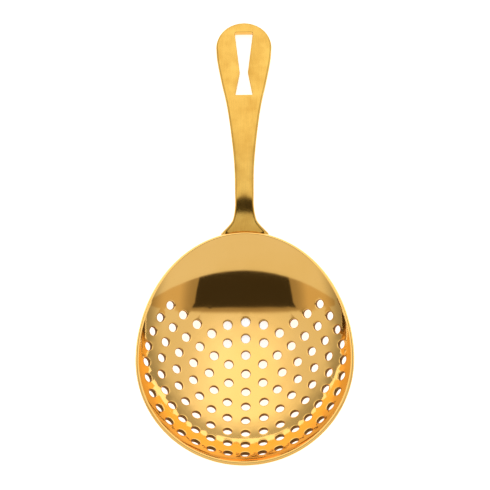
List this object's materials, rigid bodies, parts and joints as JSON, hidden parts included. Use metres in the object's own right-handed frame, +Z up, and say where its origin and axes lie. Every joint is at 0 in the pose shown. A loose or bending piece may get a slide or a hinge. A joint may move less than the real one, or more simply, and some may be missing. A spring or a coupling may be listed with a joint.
{
  "type": "julep strainer",
  "caption": "Bowl-shaped bar strainer: a perforated egg-shaped metal bowl with a flat arched handle and an hourglass hanging slot, for holding back ice while a drink is poured.",
  "frame": {"origin": "middle of the base of the bounding box, as the strainer lies on a table on the underside of its bowl and the tip of its handle", "axes": "+Z up, +Y along the handle from the bowl to the tip, +X across"},
  "size_m": [0.0758, 0.1616, 0.028],
  "materials": {
    "mirror_gold": "stainless steel, mirror polished and gold plated",
    "satin_gold": "stainless steel, satin brushed along its length and gold plated",
    "weld_gold": "weld bead, polished over and gold plated"
  },
  "bodies": {
    "root": {"bowl": "mirror_gold", "handle": "satin_gold", "root_weld": "weld_gold"}
  },
  "joints": []
}
